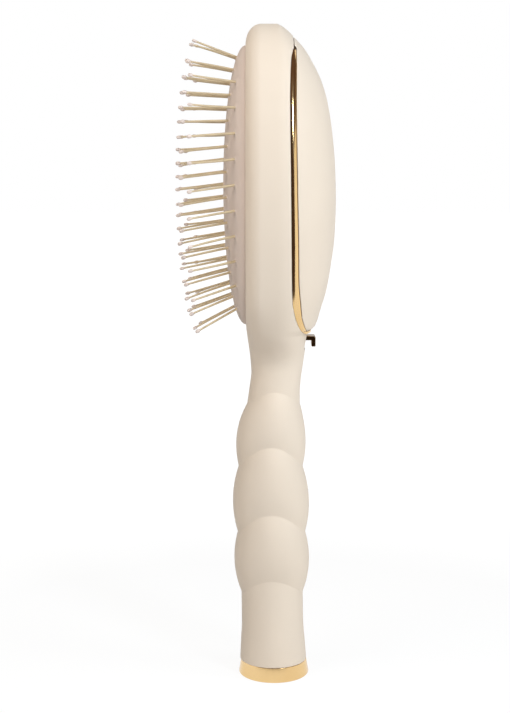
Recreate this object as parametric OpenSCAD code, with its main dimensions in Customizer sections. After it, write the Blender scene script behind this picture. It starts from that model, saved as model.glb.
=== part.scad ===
/* [End cap] */
// Height of the metal end cap
cap_h = 5.6; // [4.5:0.1:7]
// Radius of the end cap at its foot
cap_foot_r = 13.1; // [12.6:0.1:14]
// Radius of the end cap where it meets the handle
cap_top_r = 12.3; // [11.5:0.1:12.6]
// Rounding of the foot edge
cap_round = 0.7; // [0.4:0.1:1]
// Length of the spigot that is pressed into the handle
spigot_l = 9; // [6:0.5:14]
// Wall of the end cap and of its spigot
cap_wall = 1.6; // [1:0.1:2.4]

/* [Handle] */
// Height of the plain stem above the end cap
stem_h = 25.9; // [23:0.5:29]
// Height of the lowest swelling
low_lobe_h = 23.1; // [20:0.5:26]
// Height of the middle swelling
mid_lobe_h = 25; // [22:0.5:28]
// Height of the uppermost swelling
top_lobe_h = 23.6; // [21:0.5:27]
// Radius of the stem at its slimmest
stem_r = 11.5; // [10.5:0.1:12.2]
// Radius of the crease between the low and middle swellings
low_crease_r = 12.6; // [12:0.1:13.4]
// Radius of the crease between the middle and top swellings
top_crease_r = 11.9; // [11.2:0.1:12.6]
// How far the middle of a swelling stands out from its creases
lobe_bulge = 1.95; // [1:0.05:2.6]
// How far a crease climbs from the front to the side of the handle
crease_rise = 9; // [4:0.5:11]
// How far the handle leans towards the bristle side
handle_lean = 1.3; // [0:0.1:2.5]
// Radius of the hollow core
core_r = 7.4; // [6:0.1:8]
// Wall left between the core and the neck above it
core_roof = 6; // [4:0.5:12]

/* [Neck and head] */
// Height from the top crease to the narrowest place of the neck
waist_h = 10.8; // [8:0.2:14]
// Height from the narrowest place to the widest place of the head
flank_h = 70; // [64:1:76]
// Height from the widest place of the head to its crown
crest_h = 56; // [52:1:62]
// Radius of the neck where it is narrowest
neck_r = 9.2; // [8.8:0.1:10.4]
// How far the neck leans towards the cover side
neck_lean = 0.75; // [0:0.05:1.5]
// Width of the head
head_w = 62; // [58:1:68]
// Depth of the flat front rim from the long axis
rim_y = 10.45; // [9.8:0.05:11.5]
// Depth of the cover's highest place from the long axis
dome_y = 22.1; // [20.5:0.1:24]
// Depth of the line where the head is widest
widest_y = 0.7; // [0:0.1:1.5]
// Width of the rounding round the front rim
corner_w = 7; // [5:0.2:8]
// Depth of the rounding round the front rim
corner_d = 5.45; // [4:0.05:6.5]

/* [Cushion] */
// Width of the rim beside the cushion
cushion_side = 7.5; // [6.5:0.5:9.5]
// Length of the rim between the crown and the cushion
cushion_top_gap = 7.5; // [6.5:0.5:10]
// Length of the rim between the narrowest place of the neck and the cushion
cushion_low_gap = 18.5; // [17.5:0.5:22]
// Height of the cushion's crown over the rim
cushion_h = 8.1; // [6:0.1:9.5]
// Thickness of the rubber
cushion_t = 1.6; // [1.2:0.1:2]
// Width of the flange that is held in the groove
flange_w = 1.5; // [1:0.1:2]
// Thickness of the flange
flange_t = 1.5; // [1:0.1:1.8]
// Depth of the groove's upper side below the rim
lip_t = 1.4; // [1:0.1:1.8]
// Depth of the air chamber's floor from the rim
well_d = 9.45; // [8.5:0.05:9.8]
// Running space round the soft cushion
soft_gap = 0.3; // [0.2:0.05:0.4]

/* [Pins] */
// Number of rows of pins
pin_rows = 21; // [11:2:21]
// Mean distance of the end rows from the cushion's ends
row_margin = 5.5; // [5.2:0.1:8]
// Height of the middle row above the cushion's centre
row_rise = 1; // [0:0.1:1.2]
// Distance of the outermost pins from the cushion's side
pin_side_margin = 2.7; // [2.6:0.1:5]
// Distance from the cushion's ends of the oval on which the outermost pins stand
pin_end_margin = 3.5; // [2:0.1:4]
// Length of a pin outside the cushion
pin_l = 17.5; // [15:0.1:20]
// Radius of a pin at its root
pin_root_r = 0.46; // [0.4:0.02:0.6]
// Radius of a pin just under its ball
pin_neck_r = 0.34; // [0.28:0.02:0.4]
// Radius of the ball at the tip
ball_r = 0.66; // [0.5:0.02:0.8]
// Length of the ball at the tip
ball_l = 1.9; // [1.4:0.1:2.4]
// Radius of the head that holds a pin behind the rubber
pin_head_r = 1.1; // [0.9:0.1:1.4]
// Thickness of that head
pin_head_t = 0.6; // [0.4:0.1:0.9]
// Tilt of the pins at the lower end of the cushion
fan_tilt = 27; // [10:1:30]
// Tilt of the outermost pins of each row to the sides
side_tilt = 19; // [4:1:20]

/* [Rear cover] */
// Thickness of the cover's wall
cover_t = 1.8; // [1.4:0.1:2.4]
// Depth of the body's rear face beside the cover
seam_y = 5.1; // [4.6:0.1:5.4]
// Depth of the cover's edge
cover_seam_y = 7.35; // [7.2:0.05:7.8]
// Distance of the cover's lower tip above the middle of the neck
tip_rise = 16; // [14:0.5:18]
// Height of the trim under the cover's lower tip
tip_gap = 1; // [0.8:0.1:1.4]
// Depth of the ledge under the cover's lower tip
ledge_y = 11.2; // [10.6:0.1:11.6]
// Depth of the cover's inner edge at its lower tip
cover_tip_y = 11.6; // [11.3:0.1:12.2]
// Distance of the seam's upper end below the crown
seam_drop = 7.5; // [7:0.1:8.5]
// Width of the wall beside the storage space
store_side = 7.5; // [6:0.5:11]
// Length of the wall between the crown and the storage space
store_top_gap = 14.5; // [14:0.5:18]
// Length of the wall between the narrowest place of the neck and the storage space
store_low_gap = 19.5; // [19:0.5:24]
// Thickness of the wall between the storage space and the air chamber
web_t = 2; // [1.4:0.1:2.6]

/* [Trim] */
// Space between the trim and the parts that it lies between
trim_gap = 0.12; // [0.05:0.01:0.2]
// How far the trim's edge stands back from the surface
trim_inset = 0.4; // [0.2:0.05:0.8]

/* [Hinge] */
// Depth of the hinge axis
hinge_y = 7.3; // [7.1:0.05:7.5]
// Distance of the hinge axis below the crown
hinge_drop = 9.4; // [9.2:0.05:9.8]
// Radius of the hinge barrels
barrel_r = 1.4; // [1.2:0.05:1.5]
// Radius of the hinge pin
hinge_pin_r = 0.6; // [0.5:0.05:0.8]
// Width of the cover's middle knuckle
knuckle_w = 6; // [4:0.5:7]
// Width of one ear of the body
ear_w = 2.2; // [1.6:0.1:2.6]
// Radius of the swing space in the crown, at its middle
swing_r = 4.6; // [4.4:0.05:4.8]
// Half width of the swing space
swing_w = 14; // [13.8:0.1:14.5]
// Running clearance between hinge parts
hinge_gap = 0.2; // [0.15:0.05:0.3]
// Radial clearance of the hinge pin in the cover's knuckle
pin_fit = 0.05; // [0.02:0.01:0.09]

/* [Latch] */
// Width of the metal tab
tab_w = 7; // [5:0.5:8]
// Thickness of the metal tab
tab_t = 1.5; // [1.2:0.1:1.8]
// Depth of the tab's outer face
tab_y = 15; // [14.4:0.1:16]
// Height of the tab's leg from its top face
tab_leg_h = 3.8; // [3:0.1:4.4]
// Height of the tab's top face above the middle of the neck
tab_rise = 14.4; // [13.6:0.1:14.6]
// Travel of the latch
latch_travel = 3; // [2:0.25:3.25]
// Width of the slider
slider_w = 9; // [8:0.5:10]
// Depth of the slider's front face
slider_front_y = 2.6; // [2:0.1:3]
// Depth of the slider's back face
slider_back_y = 7.6; // [7:0.1:7.8]
// Height of the slider
slider_h = 11; // [9:0.5:11]
// Height of the slider's top face above the middle of the neck
slider_rise = 16.5; // [16:0.1:17]
// Running clearance of the slider in its shaft
slide_gap = 0.25; // [0.15:0.05:0.4]
// Thickness of the spring-steel catch
catch_t = 0.6; // [0.4:0.05:0.8]
// Width of the spring-steel catch
catch_w = 5; // [4:0.5:6]
// Depth of the catch's blade
catch_y = 6.2; // [6:0.1:6.6]
// Reach of the catch's nose
nose_l = 1.4; // [1:0.1:1.6]
// Width of the tongue under the cover
tongue_w = 6; // [5:0.5:8]
// Thickness of the tongue under the cover
tongue_t = 1.5; // [1:0.1:2]
// Height of the lip at the end of the tongue
tongue_lip_h = 2; // [1.5:0.1:2.4]
// Height of the tongue above the cover's lower tip
tongue_rise = 8.5; // [8:0.1:9.5]
// Depth of the tongue's free end
tongue_y = 3; // [2.6:0.1:3.4]
// Depth of the lip's rear face
lip_y = 4.5; // [4:0.1:4.6]
// Radius of the spring's coil to the middle of its wire
spring_r = 2; // [1.6:0.1:2.2]
// Radius of the spring's wire
wire_r = 0.25; // [0.2:0.05:0.3]
// Number of turns of the spring
spring_turns = 4; // [3:1:5]
// Height of the spring
spring_h = 6; // [5.5:0.25:6.5]

/* [Hidden] */
// Columns of points round the body and stations along its stretches
columns = 32;
stem_stations = [0, 0.2, 0.4, 0.7];
lobe_rows = 7;
head_rows = 15;
neck_rows = 6;
// Angle, on the crest's quarter turn, at which the crown's small flat starts
crown_angle = 88;
// Length by which a cut runs past the face that it opens
overrun = 1;

// Heights of the main places, from the standing face to the crown
stem_z = cap_h + stem_h;
low_crease_z = stem_z + low_lobe_h;
high_crease_z = low_crease_z + mid_lobe_h;
throat_z = high_crease_z + top_lobe_h;
neck_z = throat_z + waist_h;
widest_z = neck_z + flank_h;
crown_z = widest_z + crest_h;
head_l = flank_h + crest_h;

// Stretches over which the neck's front and section turn into the head's
throat_share = 0.33;
blend_share = 0.42;
throat_h = flank_h * throat_share;
blend_h = flank_h * blend_share;
// Flare of the neck and of the stem's foot
neck_flare_share = 0.055;
foot_flare_share = 0.8;

// Rise of each crease as a share of the greatest rise
crease_rise_shares = [0.75, 1, 1, 0.6];
// Lean of the handle's middle line, by share of the neck's height
lean_shares = [[0, -0.08], [0.26, -0.5], [0.45, -0.7], [0.58, -0.88], [0.68, -1],
    [0.78, -0.93], [0.85, -0.7], [0.9, -0.25], [0.95, 0.08], [1, 0.57]];
// Swelling of the stem towards its foot, by share of its height
stem_flare_shares = [[0, 1], [0.15, 0.75], [0.32, 0.45], [0.55, 0.06], [0.8, 0], [1, 0.1]];
// Widening of the head from the neck to its widest place: a hollow throat, then an ellipse
flank_shares = [[0, 0], [0.03, 0.002], [0.06, 0.0165], [0.09, 0.055], [0.12, 0.115], [0.15, 0.193],
    [0.2, 0.332], [0.25, 0.44], [0.35, 0.608], [0.45, 0.733], [0.55, 0.828], [0.65, 0.898],
    [0.75, 0.949], [0.85, 0.982], [0.95, 0.998], [1, 1]];
// Rear line of the whole head, from the neck to the dome and over the crown
back_shares = [[0, 0], [0.06, 0.09], [0.122, 0.18], [0.145, 0.41], [0.19, 0.56], [0.25, 0.74],
    [0.32, 0.865], [0.4, 0.965], [0.5, 1], [0.6, 0.968], [0.7, 0.872], [0.78, 0.735],
    [0.84, 0.55], [0.9, 0.24], [0.932, 0.03], [0.957, -0.205], [0.975, -0.38], [0.99, -0.564],
    [1, -0.76]];
// Edge of the body behind the trim, from the ledge up to the crown
body_seam_shares = [[0, 1], [0.008, 0.8], [0.02, 0.64], [0.041, 0.475], [0.065, 0.333],
    [0.122, 0.148], [0.195, 0.098], [0.302, 0.066], [0.527, 0.01], [0.8, -0.04], [0.9, -0.02],
    [0.95, 0.12], [0.985, 0.3], [1, 0.328]];
// Edge of the cover, from its lower tip up to the crown
cover_seam_shares = [[0, 1], [0.02, 0.79], [0.056, 0.54], [0.113, 0.38], [0.187, 0.22],
    [0.295, 0.17], [0.52, 0.04], [0.8, -0.05], [0.93, 0], [1, 0]];
// Tilt of the pins along the cushion, from its lower end to its upper end
tilt_shares = [[-1, -1.1], [-0.87, -1], [-0.78, -0.76], [-0.52, -0.44], [-0.15, -0.31],
    [0.25, -0.22], [0.5, -0.01], [0.73, 0.22], [0.85, 0.5], [0.91, 0.7], [1, 0.9]];
// Radius and height of the ball between its neck and its top
ball_shares = [[0.8, 0.15], [1, 0.45], [0.75, 0.85]];

// Places of the seam
tip_z = neck_z + tip_rise;
cover_tip_z = tip_z + tip_gap;
seam_top_z = crown_z - seam_drop;
corner_y = corner_d - rim_y;

// Places of the cushion and of its seat
cushion_w = head_w - 2 * cushion_side;
cushion_l = head_l - cushion_low_gap - cushion_top_gap;
cushion_z = neck_z + cushion_low_gap + cushion_l / 2;
well_floor_y = well_d - rim_y;
store_floor_y = well_floor_y + web_t;
store_w = head_w - 2 * store_side;
store_l = head_l - store_low_gap - store_top_gap;
store_z = neck_z + store_low_gap + store_l / 2;
flange_y = lip_t + soft_gap - rim_y;
groove_w = flange_w + soft_gap;

// Places of the pins on the cushion
row_pitch = (cushion_l - 2 * row_margin) / (pin_rows - 1);
outer_pin_x = cushion_w / 2 - pin_side_margin;
end_pin_z = cushion_l / 2 - pin_end_margin;

// Places of the hinge: the swing space is open above its top and closed below its floor, and it
// narrows towards its ends, by shares of its half width and of its radius
swing_share = 0.2;
swing_shares = [[1, 0.21], [0.68, 0.7], [0.386, 1]];
hinge_z = crown_z - hinge_drop;
swing_top_y = hinge_y - swing_r * swing_share;
swing_floor_z = hinge_z - swing_r * swing_share;
tail_end_y = swing_top_y + hinge_gap;
tail_r = swing_r - hinge_gap;
ear_back_y = cover_seam_y - hinge_gap;
ear_root_y = seam_y - barrel_r;
ear_neck_t = barrel_r - hinge_gap;
trim_end_z = hinge_z - 2 * swing_r;
hinge_w = knuckle_w + 2 * (ear_w + hinge_gap);

// Places of the latch
slot_gap = 0.2;
tab_z = neck_z + tab_rise;
slider_z = neck_z + slider_rise;
shaft_floor_z = slider_z - slider_h - spring_h;
tongue_z = cover_tip_z + tongue_rise;
lip_z = tongue_z - tongue_lip_h;
nose_z = tongue_z - hinge_gap - catch_t;

// Seat of the catch in the slider
catch_root_share = 0.55;
catch_root_z = slider_z - slider_h * catch_root_share;
catch_fit = 0.02;

// Press fit of the end cap's spigot in the core
spigot_fit = 0.05;

pin_row_names = [for (i = [1 : pin_rows]) str("pin_row_", i < 10 ? "0" : "", i)];

// Helpers for values along a curve
function mix(a, b, t) = a + (b - a) * t;
function clamp(t) = min(max(t, 0), 1);
function ease(t) = let (s = clamp(t)) s * s * (3 - 2 * s);
function root(t) = sqrt(max(t, 0));
function climb(tab, i) = (tab[i + 1][1] - tab[i][1]) / (tab[i + 1][0] - tab[i][0]);
function bend(a, b) = a * b <= 0 ? 0 : 2 * a * b / (a + b);
function slope(tab, i) = i == 0 ? climb(tab, 0)
    : i == len(tab) - 1 ? climb(tab, i - 1)
    : bend(climb(tab, i - 1), climb(tab, i));
function knot(tab, s, i = 0) = (i >= len(tab) - 2 || s < tab[i + 1][0]) ? i : knot(tab, s, i + 1);
function curve(tab, s) =
    let (i = knot(tab, s), w = tab[i + 1][0] - tab[i][0], t = clamp((s - tab[i][0]) / w), u = 1 - t)
    tab[i][1] * (1 + 2 * t) * u * u + slope(tab, i) * w * t * u * u
    + tab[i + 1][1] * (1 + 2 * u) * t * t - slope(tab, i + 1) * w * u * t * t;

// Outer shape of the neck and head: each section is round at the neck and has a flat front
// with rounded corners and an elliptical back at the head
function lean(z) = handle_lean * curve(lean_shares, z / neck_z);
function waist_r(z) = neck_r * (1 + neck_flare_share * pow((neck_z - z) / waist_h, 2));
function half_width(z) = z >= widest_z ? head_w / 2 * root(1 - pow((z - widest_z) / crest_h, 2))
    : z > neck_z ? mix(neck_r, head_w / 2, curve(flank_shares, (z - neck_z) / flank_h))
    : waist_r(z);
function mid_y(z) = z < neck_z ? lean(z) : mix(neck_lean, widest_y, ease((z - neck_z) / blend_h));
function arch(t) = 1 - root(1 - t * t);
function front_y(z) = z > crown_z - corner_w ? corner_d * arch(1 - (crown_z - z) / corner_w) - rim_y
    : z > neck_z ? mix(neck_lean - neck_r, -rim_y, ease((z - neck_z) / throat_h))
    : lean(z) - waist_r(z);
function back_y(z) = z > neck_z
    ? mix(neck_lean + neck_r, dome_y, curve(back_shares, (z - neck_z) / head_l))
    : lean(z) + waist_r(z);
function inset(y) = corner_w * arch(clamp((corner_y - y) / corner_d));
function cornered(z, y) = z > widest_z
    ? (head_w / 2 - inset(y)) * root(1 - pow((z - widest_z) / (crest_h - inset(y)), 2))
    : half_width(z) - inset(y);
function rounded(z, y) = half_width(z) * root(1 - pow((mid_y(z) - y) / (mid_y(z) - front_y(z)), 2));
function side_x(z, y) = y > mid_y(z)
    ? half_width(z) * root(1 - pow((y - mid_y(z)) / (back_y(z) - mid_y(z)), 2))
    : mix(rounded(z, y), cornered(z, y), ease((z - neck_z) / blend_h));
function seam_share(z, low) = (z - low) / (seam_top_z - low);
function body_seam(z) = mix(seam_y, ledge_y, curve(body_seam_shares, seam_share(z, tip_z)));
function cover_seam(z) =
    mix(cover_seam_y, cover_tip_y, curve(cover_seam_shares, seam_share(z, cover_tip_z)));
function body_back_y(z) = z <= tip_z || z > seam_top_z ? back_y(z) : min(body_seam(z), back_y(z));

// Handle: swellings parted by creases that climb from the front and back to the sides
crease_zs = [stem_z, low_crease_z, high_crease_z, throat_z];
crease_rs = [stem_r, low_crease_r, top_crease_r, neck_r];
function crease_z(k, a) = crease_zs[k] + crease_rise * crease_rise_shares[k] * pow(sin(a), 2);
function crease_r(k, a) = k < 3 ? crease_rs[k] : waist_r(crease_z(k, a));
function stem_flare(u) =
    mix(stem_r, (cap_foot_r + cap_top_r) / 2, foot_flare_share * curve(stem_flare_shares, u));
function lobe_r(k, u, a) = mix(crease_r(k, a), crease_r(k + 1, a), u) + lobe_bulge * 4 * u * (1 - u);
function round_point(z, r, a) = [r * sin(a), lean(z) - r * cos(a), z];
function shaped_point(z, a) =
    let (y = mix(front_y(z), body_back_y(z), (1 - cos(a)) / 2), x = side_x(z, y))
    [a < 180 ? x : -x, y, z];
angles = [for (j = [0 : columns - 1]) 360 * (j + 0.5) / columns];
stem_rings = [for (u = stem_stations) [for (a = angles)
    round_point(mix(cap_h, crease_z(0, a), u), stem_flare(u), a)]];
lobe_rings = [for (k = [0 : 2], i = [0 : lobe_rows - 1]) let (u = i / lobe_rows) [for (a = angles)
    round_point(mix(crease_z(k, a), crease_z(k + 1, a), u), lobe_r(k, u, a), a)]];
neck_rings = [for (i = [0 : neck_rows - 1]) [for (a = angles)
    let (u = i / neck_rows, z = mix(crease_z(3, a), tip_z, u)) shaped_point(z, a)]];
flank_levels = [for (i = [0 : head_rows]) mix(tip_z, widest_z, 1 - cos(90 * i / head_rows))];
crest_levels = [for (i = [1 : head_rows]) mix(widest_z, crown_z, sin(crown_angle * i / head_rows))];
head_levels = concat(flank_levels, crest_levels);
head_rings = [for (z = head_levels) [for (a = angles) shaped_point(z, a)]];

// Levels along the seam, which the body, the trim and the cover share
level_gap = 0.1;
function levels_between(low, high) =
    [for (z = head_levels) if (z > low + level_gap && z < high - level_gap) z];
seam_levels = concat([cover_tip_z], levels_between(cover_tip_z, hinge_z));

// Closed solid through rings of points, with each end closed by strips
module sweep(rings) {
    n = len(rings[0]);
    last = len(rings) - 1;
    sides = [for (i = [0 : last - 1], j = [0 : n - 1])
        let (a = i * n + j, b = i * n + (j + 1) % n)
        each [[a, a + n, b + n], [a, b + n, b]]];
    cap = [for (j = [0 : n / 2 - 2]) [j, j + 1, n - 2 - j, n - 1 - j]];
    far_cap = [for (c = cap) [for (j = [3 : -1 : 0]) last * n + c[j]]];
    polyhedron(points = [for (r = rings) each r], faces = concat(sides, cap, far_cap));
}

// Oval outline in the plane of the head
function oval(w, l, steps = 48) =
    [for (i = [0 : steps - 1]) let (a = 360 * i / steps) [w / 2 * cos(a), l / 2 * sin(a)]];

module oval_block(w, l, z, y_low, y_high) {
    translate([0, y_high, z]) rotate([90, 0, 0]) linear_extrude(y_high - y_low) polygon(oval(w, l));
}

module box(x, y_low, y_high, z_low, z_high) {
    translate([-x / 2, y_low, z_low]) cube([x, y_high - y_low, z_high - z_low]);
}

module cross_bar(r, w) {
    translate([-w / 2, hinge_y, hinge_z]) rotate([0, 90, 0]) cylinder(r = r, h = w, $fn = 48);
}

// Body: handle, neck and head frame in one moulding
module cushion_seat() {
    oval_block(cushion_w + 2 * soft_gap, cushion_l + 2 * soft_gap, cushion_z, -rim_y - overrun, well_floor_y);
    oval_block(cushion_w + 2 * (groove_w + soft_gap), cushion_l + 2 * (groove_w + soft_gap), cushion_z,
        lip_t - rim_y, flange_y + flange_t + soft_gap);
}

// Round space in which the cover's tail turns: it follows the tail, which narrows with the crown
module swing_spindle() {
    half = [for (s = swing_shares) [swing_r * s[1], -swing_w * s[0]]];
    translate([0, hinge_y, hinge_z]) rotate([0, 90, 0]) rotate_extrude($fn = 48)
        polygon(concat([[0, -swing_w]], half, [for (i = [len(half) - 1 : -1 : 0]) [half[i][0], -half[i][1]]],
            [[0, swing_w]]));
}

module hinge_space() {
    intersection() {
        swing_spindle();
        box(2 * swing_w, hinge_y - swing_r, hinge_y + swing_r, swing_floor_z, crown_z);
    }
    box(2 * swing_w, swing_top_y, dome_y, swing_floor_z, crown_z);
    cross_bar(barrel_r + hinge_gap, hinge_w + 2 * hinge_gap);
}

// Ear for the hinge pin: a barrel on a neck, and a rib that carries it beside the storage space
module ear() translate([knuckle_w / 2 + hinge_gap, 0, 0]) {
    rib_z = store_z + store_l / 2;
    translate([0, hinge_y, hinge_z]) rotate([0, 90, 0]) cylinder(r = barrel_r, h = ear_w, $fn = 48);
    translate([0, ear_back_y - ear_neck_t, rib_z]) cube([ear_w, ear_neck_t, hinge_z - rib_z]);
    translate([0, ear_root_y, rib_z]) cube([ear_w, ear_back_y - ear_root_y, swing_floor_z - rib_z]);
}

module latch_space() {
    box(slider_w + 2 * slide_gap, slider_front_y - slide_gap, slider_back_y + slide_gap,
        shaft_floor_z, store_z - store_l / 2 + slider_h);
    box(tab_w + 2 * slot_gap, slider_back_y, dome_y, tab_z - tab_t - latch_travel - 2 * slot_gap,
        tab_z + slot_gap);
}

module body() color("AntiqueWhite") {
    difference() {
        union() {
            difference() {
                sweep(concat(stem_rings, lobe_rings, neck_rings, head_rings));
                cushion_seat();
                oval_block(store_w, store_l, store_z, store_floor_y, dome_y);
                hinge_space();
                latch_space();
                translate([0, 0, cap_h - overrun])
                    cylinder(r = core_r, h = throat_z - core_roof - cap_h + overrun, $fn = 64);
            }
            ear();
            mirror([1, 0, 0]) ear();
        }
        cross_bar(hinge_pin_r + pin_fit / 2, hinge_w + 2 * hinge_gap);
    }
}

// End cap: plated shell with a hollow spigot and a rounded foot edge
module end_cap() color("Goldenrod") {
    foot = cap_foot_r - cap_round;
    spigot = core_r - spigot_fit;
    top = cap_h + spigot_l;
    rotate_extrude($fn = 96) polygon(concat(
        [[0, 0], [foot, 0]],
        [for (a = [-75 : 15 : 0]) [foot + cap_round * cos(a), cap_round + cap_round * sin(a)]],
        [[cap_top_r, cap_h], [spigot, cap_h], [spigot, top - cap_wall / 2], [spigot - cap_wall / 2, top],
         [core_r - cap_wall, top], [core_r - cap_wall, cap_wall], [0, cap_wall]]));
}

// Cushion: domed rubber shell whose flange sits in the groove of the body
dome_steps = 40;
dome_angles = [5, 14, 24, 34, 44, 54, 63, 72, 80, 86, 90];
function dome_ring(w, l, y) = [for (i = [0 : dome_steps - 1])
    let (a = 360 * i / dome_steps) [w / 2 * sin(a), y, cushion_z + l / 2 * cos(a)]];
function dome_rings(wall) = [for (a = dome_angles)
    dome_ring((cushion_w - 2 * wall) * sin(a), (cushion_l - 2 * wall) * sin(a),
        -rim_y - (cushion_h - wall) * cos(a))];
module cushion() color("RosyBrown") {
    skirt_y = flange_y + flange_t;
    inner = dome_rings(cushion_t);
    sweep(concat(dome_rings(0),
        [dome_ring(cushion_w, cushion_l, flange_y),
         dome_ring(cushion_w + 2 * flange_w, cushion_l + 2 * flange_w, flange_y),
         dome_ring(cushion_w + 2 * flange_w, cushion_l + 2 * flange_w, skirt_y),
         dome_ring(cushion_w - 2 * cushion_t, cushion_l - 2 * cushion_t, skirt_y)],
        [for (i = [len(inner) - 1 : -1 : 0]) inner[i]]));
}

// Pins: a head behind the rubber, a tapered shaft and an oval ball
module pin() {
    back = cushion_t + pin_head_t;
    neck_l = pin_l - ball_l;
    rotate_extrude($fn = 24) polygon(concat(
        [[0, -back], [pin_head_r, -back], [pin_head_r, -cushion_t], [pin_root_r, -cushion_t],
         [pin_root_r, 0], [pin_neck_r, neck_l]],
        [for (s = ball_shares) [ball_r * s[0], neck_l + ball_l * s[1]]],
        [[0, pin_l]]));
}

// Rows are counted from the middle one, and long and short rows take turns
middle_row = (pin_rows - 1) / 2;
function row_z(m) = cushion_z + row_rise + row_pitch * m;
function row_half(z) = outer_pin_x * root(1 - pow((z - cushion_z) / end_pin_z, 2));
function row_shares(m) = abs(m) == middle_row ? [-1, 0, 1]
    : m % 2 == 0 ? [-1, -1 / 3, 1 / 3, 1] : [-2 / 3, 0, 2 / 3];
function dome_at(x, z) = -rim_y - cushion_h
    * root(1 - pow(2 * x / cushion_w, 2) - pow(2 * (z - cushion_z) / cushion_l, 2));
module pin_row(m) color("BurlyWood") {
    z = row_z(m);
    tilt = fan_tilt * curve(tilt_shares, 2 * (z - cushion_z) / cushion_l);
    for (share = row_shares(m)) {
        x = share * row_half(z);
        translate([x, dome_at(x, z), z]) rotate([90 - tilt, 0, side_tilt * share]) pin();
    }
}

// Rear cover: domed shell with a hinge knuckle, a swinging tail and a catch tongue. Its hollow
// starts a little way in from each end, and its inner edge stays within shares of its outer one.
cover_steps = 20;
cover_wall_share = 0.035;
edge_shares = [0.5, 0.94];
hollow_share = 0.1;
cover_top_z = hinge_z + swing_r;
cover_levels = concat(seam_levels, [hinge_z, hinge_z + barrel_r / 2, hinge_z + barrel_r, cover_top_z]);
function cavity(u) = ease(min(u, 1 - u) / cover_wall_share - 1);
function cover_edge_y(z) = cover_seam(z) - (cover_seam_y - tail_end_y) * ease((z - hinge_z) / barrel_r);
function cover_ring(z, g) =
    let (y = cover_edge_y(z), m = mid_y(z), r = back_y(z) - m, b = asin(clamp((y - m) / r)),
        w = half_width(z), edge_x = w * cos(b), inner_w = w - cover_t, inner_r = r - cover_t,
        inner_x = inner_w * root(1 - pow((y - m) / inner_r, 2)),
        inner_edge_x = max(min(inner_x, edge_x * edge_shares[1]), edge_x * edge_shares[0]))
    concat(
        [for (i = [0 : cover_steps]) let (a = mix(b, 180 - b, i / cover_steps))
            [w * cos(a), m + r * sin(a), z]],
        [for (i = [0 : cover_steps])
            let (a = 180 * i / cover_steps, x = -inner_edge_x * cos(a),
                shallow_y = mix(y, back_y(z), hollow_share * sin(a)))
            [x, mix(shallow_y, max(shallow_y, m + inner_r * root(1 - pow(x / inner_w, 2))), g), z]]);
module cover_shell() {
    sweep([for (z = cover_levels)
        cover_ring(z, cavity((z - cover_tip_z) / (cover_top_z - cover_tip_z)))]);
}

module cover_trimmings() {
    difference() {
        box(head_w, hinge_y - 2 * swing_r, hinge_y + 2 * swing_r, hinge_z, crown_z);
        cross_bar(tail_r, 2 * (swing_w - hinge_gap));
    }
    for (side = [0, 1]) mirror([side, 0, 0])
        translate([knuckle_w / 2, hinge_y, hinge_z]) rotate([0, 90, 0])
            cylinder(r = barrel_r + hinge_gap, h = ear_w + 2 * hinge_gap, $fn = 48);
}

module rear_cover() color("Linen") {
    difference() {
        union() {
            difference() {
                cover_shell();
                cover_trimmings();
            }
            cross_bar(barrel_r, knuckle_w);
            box(tongue_w, tongue_y, back_y(tongue_z) - cover_t, tongue_z, tongue_z + tongue_t);
            box(tongue_w, tongue_y, lip_y, lip_z, tongue_z + tongue_t);
        }
        cross_bar(hinge_pin_r + pin_fit, 2 * knuckle_w);
    }
}

// Trim: plated band that lies between the body and the cover round the storage space
module trim_band() color("Goldenrod") {
    difference() {
        sweep([for (z = concat(levels_between(tip_z, cover_tip_z), seam_levels))
            let (low = body_seam(z) + trim_gap, high = cover_seam(max(z, cover_tip_z)) - trim_gap,
                x_low = side_x(z, low) - trim_inset, x_high = side_x(z, high) - trim_inset)
            [[x_low, low, z], [x_high, high, z], [-x_high, high, z], [-x_low, low, z]]]);
        oval_block(store_w, store_l, store_z, store_floor_y, dome_y);
        box(2 * swing_w, 0, dome_y, trim_end_z, crown_z);
    }
}

// Hinge pin through the ears and the knuckle
module hinge_pin() color("Silver") cross_bar(hinge_pin_r, hinge_w);

// Latch: metal tab outside, slider inside, spring below and catch above
module latch_tab() color("DarkGoldenrod") {
    box(tab_w, slider_back_y, tab_y, tab_z - tab_t, tab_z);
    box(tab_w, tab_y - tab_t, tab_y, tab_z - tab_leg_h, tab_z);
}

module latch_slider() color("DimGray") {
    difference() {
        box(slider_w, slider_front_y, slider_back_y, slider_z - slider_h, slider_z);
        box(catch_w + 2 * catch_fit, catch_y - catch_fit, catch_y + catch_t + catch_fit,
            catch_root_z, slider_z + overrun);
    }
}

module latch_catch() color("Silver") {
    box(catch_w, catch_y, catch_y + catch_t, catch_root_z, nose_z);
    box(catch_w, catch_y - nose_l, catch_y + catch_t, nose_z, nose_z + catch_t);
}

module latch_spring() color("Silver") {
    stations = 12 * spring_turns;
    wire_sides = 6;
    y = (slider_front_y + slider_back_y) / 2;
    sweep([for (i = [0 : stations])
        let (a = 360 * spring_turns * i / stations,
            z = mix(shaft_floor_z + wire_r, shaft_floor_z + spring_h - wire_r, i / stations))
        [for (j = [0 : wire_sides - 1])
            let (b = 360 * j / wire_sides, r = spring_r + wire_r * cos(b))
            [r * cos(a), y + r * sin(a), z - wire_r * sin(b)]]]);
}

body();
end_cap();
cushion();
rear_cover();
trim_band();
hinge_pin();
latch_tab();
latch_slider();
latch_catch();
latch_spring();
for (i = [0 : pin_rows - 1]) pin_row(i - middle_row);
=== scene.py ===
"""Looks of the detangling brush, with every visible piece worked out at full smoothness.

Formulas are in millimetres and meshes in metres. Z is up, the pins point to -Y, the rear cover is
on the +Y side and X runs across the head.
"""
import math

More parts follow.
